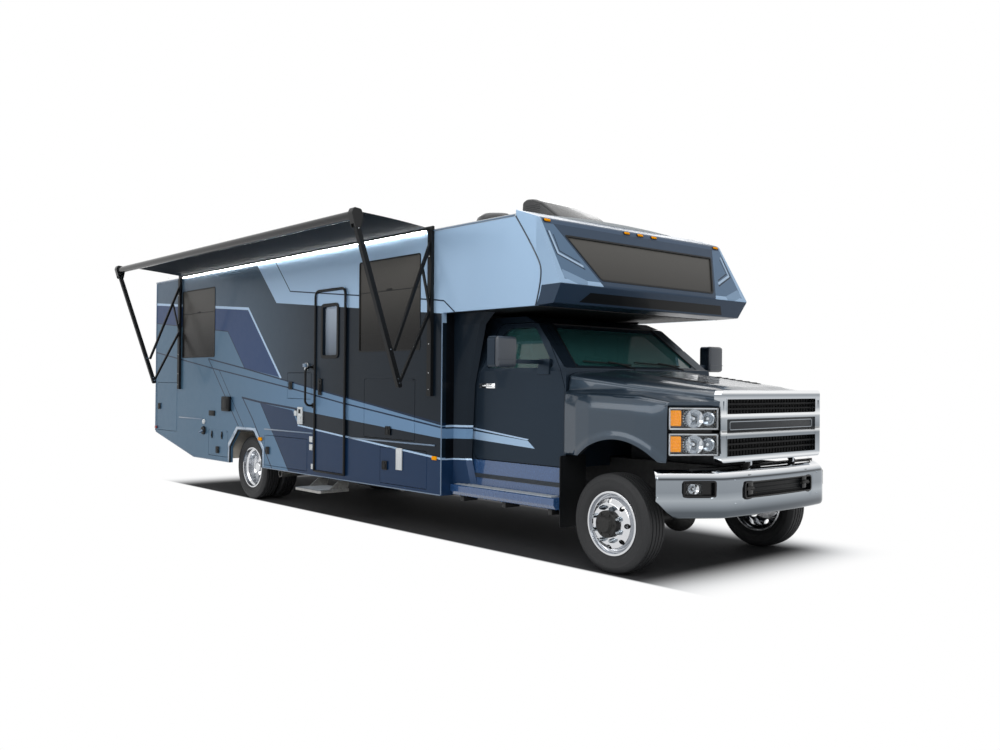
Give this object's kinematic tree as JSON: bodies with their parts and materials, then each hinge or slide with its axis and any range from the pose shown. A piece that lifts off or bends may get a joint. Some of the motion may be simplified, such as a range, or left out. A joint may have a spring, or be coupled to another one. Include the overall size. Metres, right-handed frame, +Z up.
{
  "type": "class C motorhome",
  "caption": "Coach-bodied motorhome on a medium truck with tilting hood, steered front wheels, twin rear wheels, opening doors and storage lids, and an extended awning.",
  "frame": {"origin": "on the ground, under the middle of the whole vehicle's box, mirrors and drawn-out awning included", "axes": "-Y towards the vehicle's front, +X towards its left, +Z up"},
  "size_m": [3.8202, 10.03, 3.3952],
  "materials": {
    "frame_black": "satin",
    "coach_blue": "gloss",
    "cap_paint": "gloss",
    "cab_paint": "metallic gloss",
    "inner_panel": "matt lining board",
    "roof_white": "matt membrane",
    "coach_glass": "dark tint",
    "cab_glass": "light tint",
    "lens_clear": "clear lens",
    "lens_red": "red lens",
    "chrome": "polished",
    "wheel_alloy": "polished",
    "tyre_rubber": "matt",
    "cast_part": "painted black",
    "engine_grey": "cast",
    "exhaust_steel": "dull",
    "tank_steel": "satin",
    "trim_black": "grained",
    "flap_rubber": "matt",
    "seat_cloth": "woven",
    "awning_black": "satin",
    "awning_cloth": "coated cloth",
    "step_metal": "checkered",
    "unit_shroud": "satin shell"
  },
  "bodies": {
    "coach": {"frame_rails": "frame_black", "front_axle": "cast_part", "rear_axle": "cast_part", "engine_block": "engine_grey", "drive_shaft": "cast_part", "fuel_tank": "tank_steel", "exhaust_pipe": "exhaust_steel", "side_wall_left": "coach_blue", "side_wall_right": "coach_blue", "rear_wall": "coach_blue", "front_wall": "trim_black", "roof_panel": "roof_white", "bunk_floor": "inner_panel", "coach_floor": "inner_panel", "overcab_cap": "cap_paint", "coach_windows": "coach_glass", "cab_shell": "cab_paint", "windshield": "cab_glass", "cab_seats": "seat_cloth", "dashboard": "trim_black", "front_bumper": "chrome", "running_boards": "cap_paint", "cab_fairings": "cap_paint", "mud_flaps": "flap_rubber", "grab_handle": "chrome", "entry_step": "step_metal", "awning_arms": "awning_black", "awning_roller": "awning_black", "awning_fabric": "awning_cloth", "roof_units": "unit_shroud", "storage_bins": "frame_black", "hitch_receiver": "frame_black", "tail_lamps": "lens_red"},
    "hood": {"hood": "cab_paint", "grille": "chrome", "headlamps": "lens_clear"},
    "knuckle_left": {"knuckle_left": "cast_part"},
    "knuckle_right": {"knuckle_right": "cast_part"},
    "front_wheel_left": {"front_wheel_left": "wheel_alloy", "front_tyre_left": "tyre_rubber"},
    "front_wheel_right": {"front_wheel_right": "wheel_alloy", "front_tyre_right": "tyre_rubber"},
    "rear_wheels_left": {"rear_wheels_left": "wheel_alloy", "rear_tyres_left": "tyre_rubber"},
    "rear_wheels_right": {"rear_wheels_right": "wheel_alloy", "rear_tyres_right": "tyre_rubber"},
    "cab_door_left": {"cab_door_left": "cab_paint", "cab_door_window_left": "cab_glass"},
    "cab_door_right": {"cab_door_right": "cab_paint", "cab_door_window_right": "cab_glass"},
    "entry_door": {"entry_door": "trim_black", "entry_door_window": "coach_glass"},
    "front_locker_lid_right": {"front_locker_lid_right": "coach_blue"},
    "tall_locker_lid_right": {"tall_locker_lid_right": "coach_blue"},
    "middle_locker_lid_right": {"middle_locker_lid_right": "coach_blue"},
    "service_hatch_lid_right": {"service_hatch_lid_right": "coach_blue"},
    "power_hatch_lid_right": {"power_hatch_lid_right": "coach_blue"},
    "rear_locker_lid_right": {"rear_locker_lid_right": "coach_blue"},
    "middle_locker_lid_left": {"middle_locker_lid_left": "coach_blue"},
    "rear_locker_lid_left": {"rear_locker_lid_left": "coach_blue"}
  },
  "joints": [
    {"name": "steer_left", "type": "hinge", "parent": "coach", "child": "knuckle_left", "pos_m": [1.1715, -4.165, 0.4055], "axis": [0, 0, 1], "range_deg": [-30, 30]},
    {"name": "steer_right", "type": "hinge", "parent": "coach", "child": "knuckle_right", "pos_m": [-0.5485, -4.165, 0.4055], "axis": [0, 0, 1], "range_deg": [-30, 30]},
    {"name": "front_wheel_left_spin", "type": "hinge", "parent": "knuckle_left", "child": "front_wheel_left", "pos_m": [1.3315, -4.165, 0.4055], "axis": [1, 0, 0], "continuous": true},
    {"name": "rear_wheels_left_spin", "type": "hinge", "parent": "coach", "child": "rear_wheels_left", "pos_m": [1.2505, 2.007, 0.4055], "axis": [1, 0, 0], "continuous": true},
    {"name": "front_wheel_right_spin", "type": "hinge", "parent": "knuckle_right", "child": "front_wheel_right", "pos_m": [-0.7085, -4.165, 0.4055], "axis": [1, 0, 0], "continuous": true},
    {"name": "rear_wheels_right_spin", "type": "hinge", "parent": "coach", "child": "rear_wheels_right", "pos_m": [-0.6275, 2.007, 0.4055], "axis": [1, 0, 0], "continuous": true},
    {"name": "hood_tilt", "type": "hinge", "parent": "coach", "child": "hood", "pos_m": [0.3115, -4.92, 0.898], "axis": [1, 0, 0], "range_deg": [0, 65]},
    {"name": "cab_door_left_swing", "type": "hinge", "parent": "coach", "child": "cab_door_left", "pos_m": [1.3315, -3.536, 1.195], "axis": [0, 0, -1], "range_deg": [0, 65]},
    {"name": "cab_door_right_swing", "type": "hinge", "parent": "coach", "child": "cab_door_right", "pos_m": [-0.7085, -3.536, 1.195], "axis": [0, 0, 1], "range_deg": [0, 65]},
    {"name": "entry_door_swing", "type": "hinge", "parent": "coach", "child": "entry_door", "pos_m": [-0.9875, -0.416, 1.51], "axis": [0, 0, 1], "range_deg": [0, 115]},
    {"name": "front_locker_lid_right_swing", "type": "hinge", "parent": "coach", "child": "front_locker_lid_right", "pos_m": [-0.9715, -1.912, 0.67], "axis": [0, 0, 1], "range_deg": [0, 95]},
    {"name": "tall_locker_lid_right_lift", "type": "hinge", "parent": "coach", "child": "tall_locker_lid_right", "pos_m": [-0.9715, -1.255, 1.559], "axis": [0, 1, 0], "range_deg": [0, 90]},
    {"name": "middle_locker_lid_right_swing", "type": "hinge", "parent": "coach", "child": "middle_locker_lid_right", "pos_m": [-0.9715, 0.394, 0.67], "axis": [0, 0, 1], "range_deg": [0, 95]},
    {"name": "service_hatch_lid_right_lift", "type": "hinge", "parent": "coach", "child": "service_hatch_lid_right", "pos_m": [-0.9715, 2.7695, 0.855], "axis": [0, 1, 0], "range_deg": [0, 90]},
    {"name": "power_hatch_lid_right_swing", "type": "hinge", "parent": "coach", "child": "power_hatch_lid_right", "pos_m": [-0.9715, 0.312, 1.4735], "axis": [0, 0, 1], "range_deg": [0, 95]},
    {"name": "rear_locker_lid_right_swing", "type": "hinge", "parent": "coach", "child": "rear_locker_lid_right", "pos_m": [-0.9715, 4.166, 1.1325], "axis": [0, 0, 1], "range_deg": [0, 95]},
    {"name": "middle_locker_lid_left_swing", "type": "hinge", "parent": "coach", "child": "middle_locker_lid_left", "pos_m": [1.5945, 0.394, 0.67], "axis": [0, 0, -1], "range_deg": [0, 95]},
    {"name": "rear_locker_lid_left_swing", "type": "hinge", "parent": "coach", "child": "rear_locker_lid_left", "pos_m": [1.5945, 4.166, 1.1325], "axis": [0, 0, -1], "range_deg": [0, 95]}
  ],
  "couplings": [
    {"joint": "steer_right", "follows": "steer_left", "ratio": 1}
  ]
}
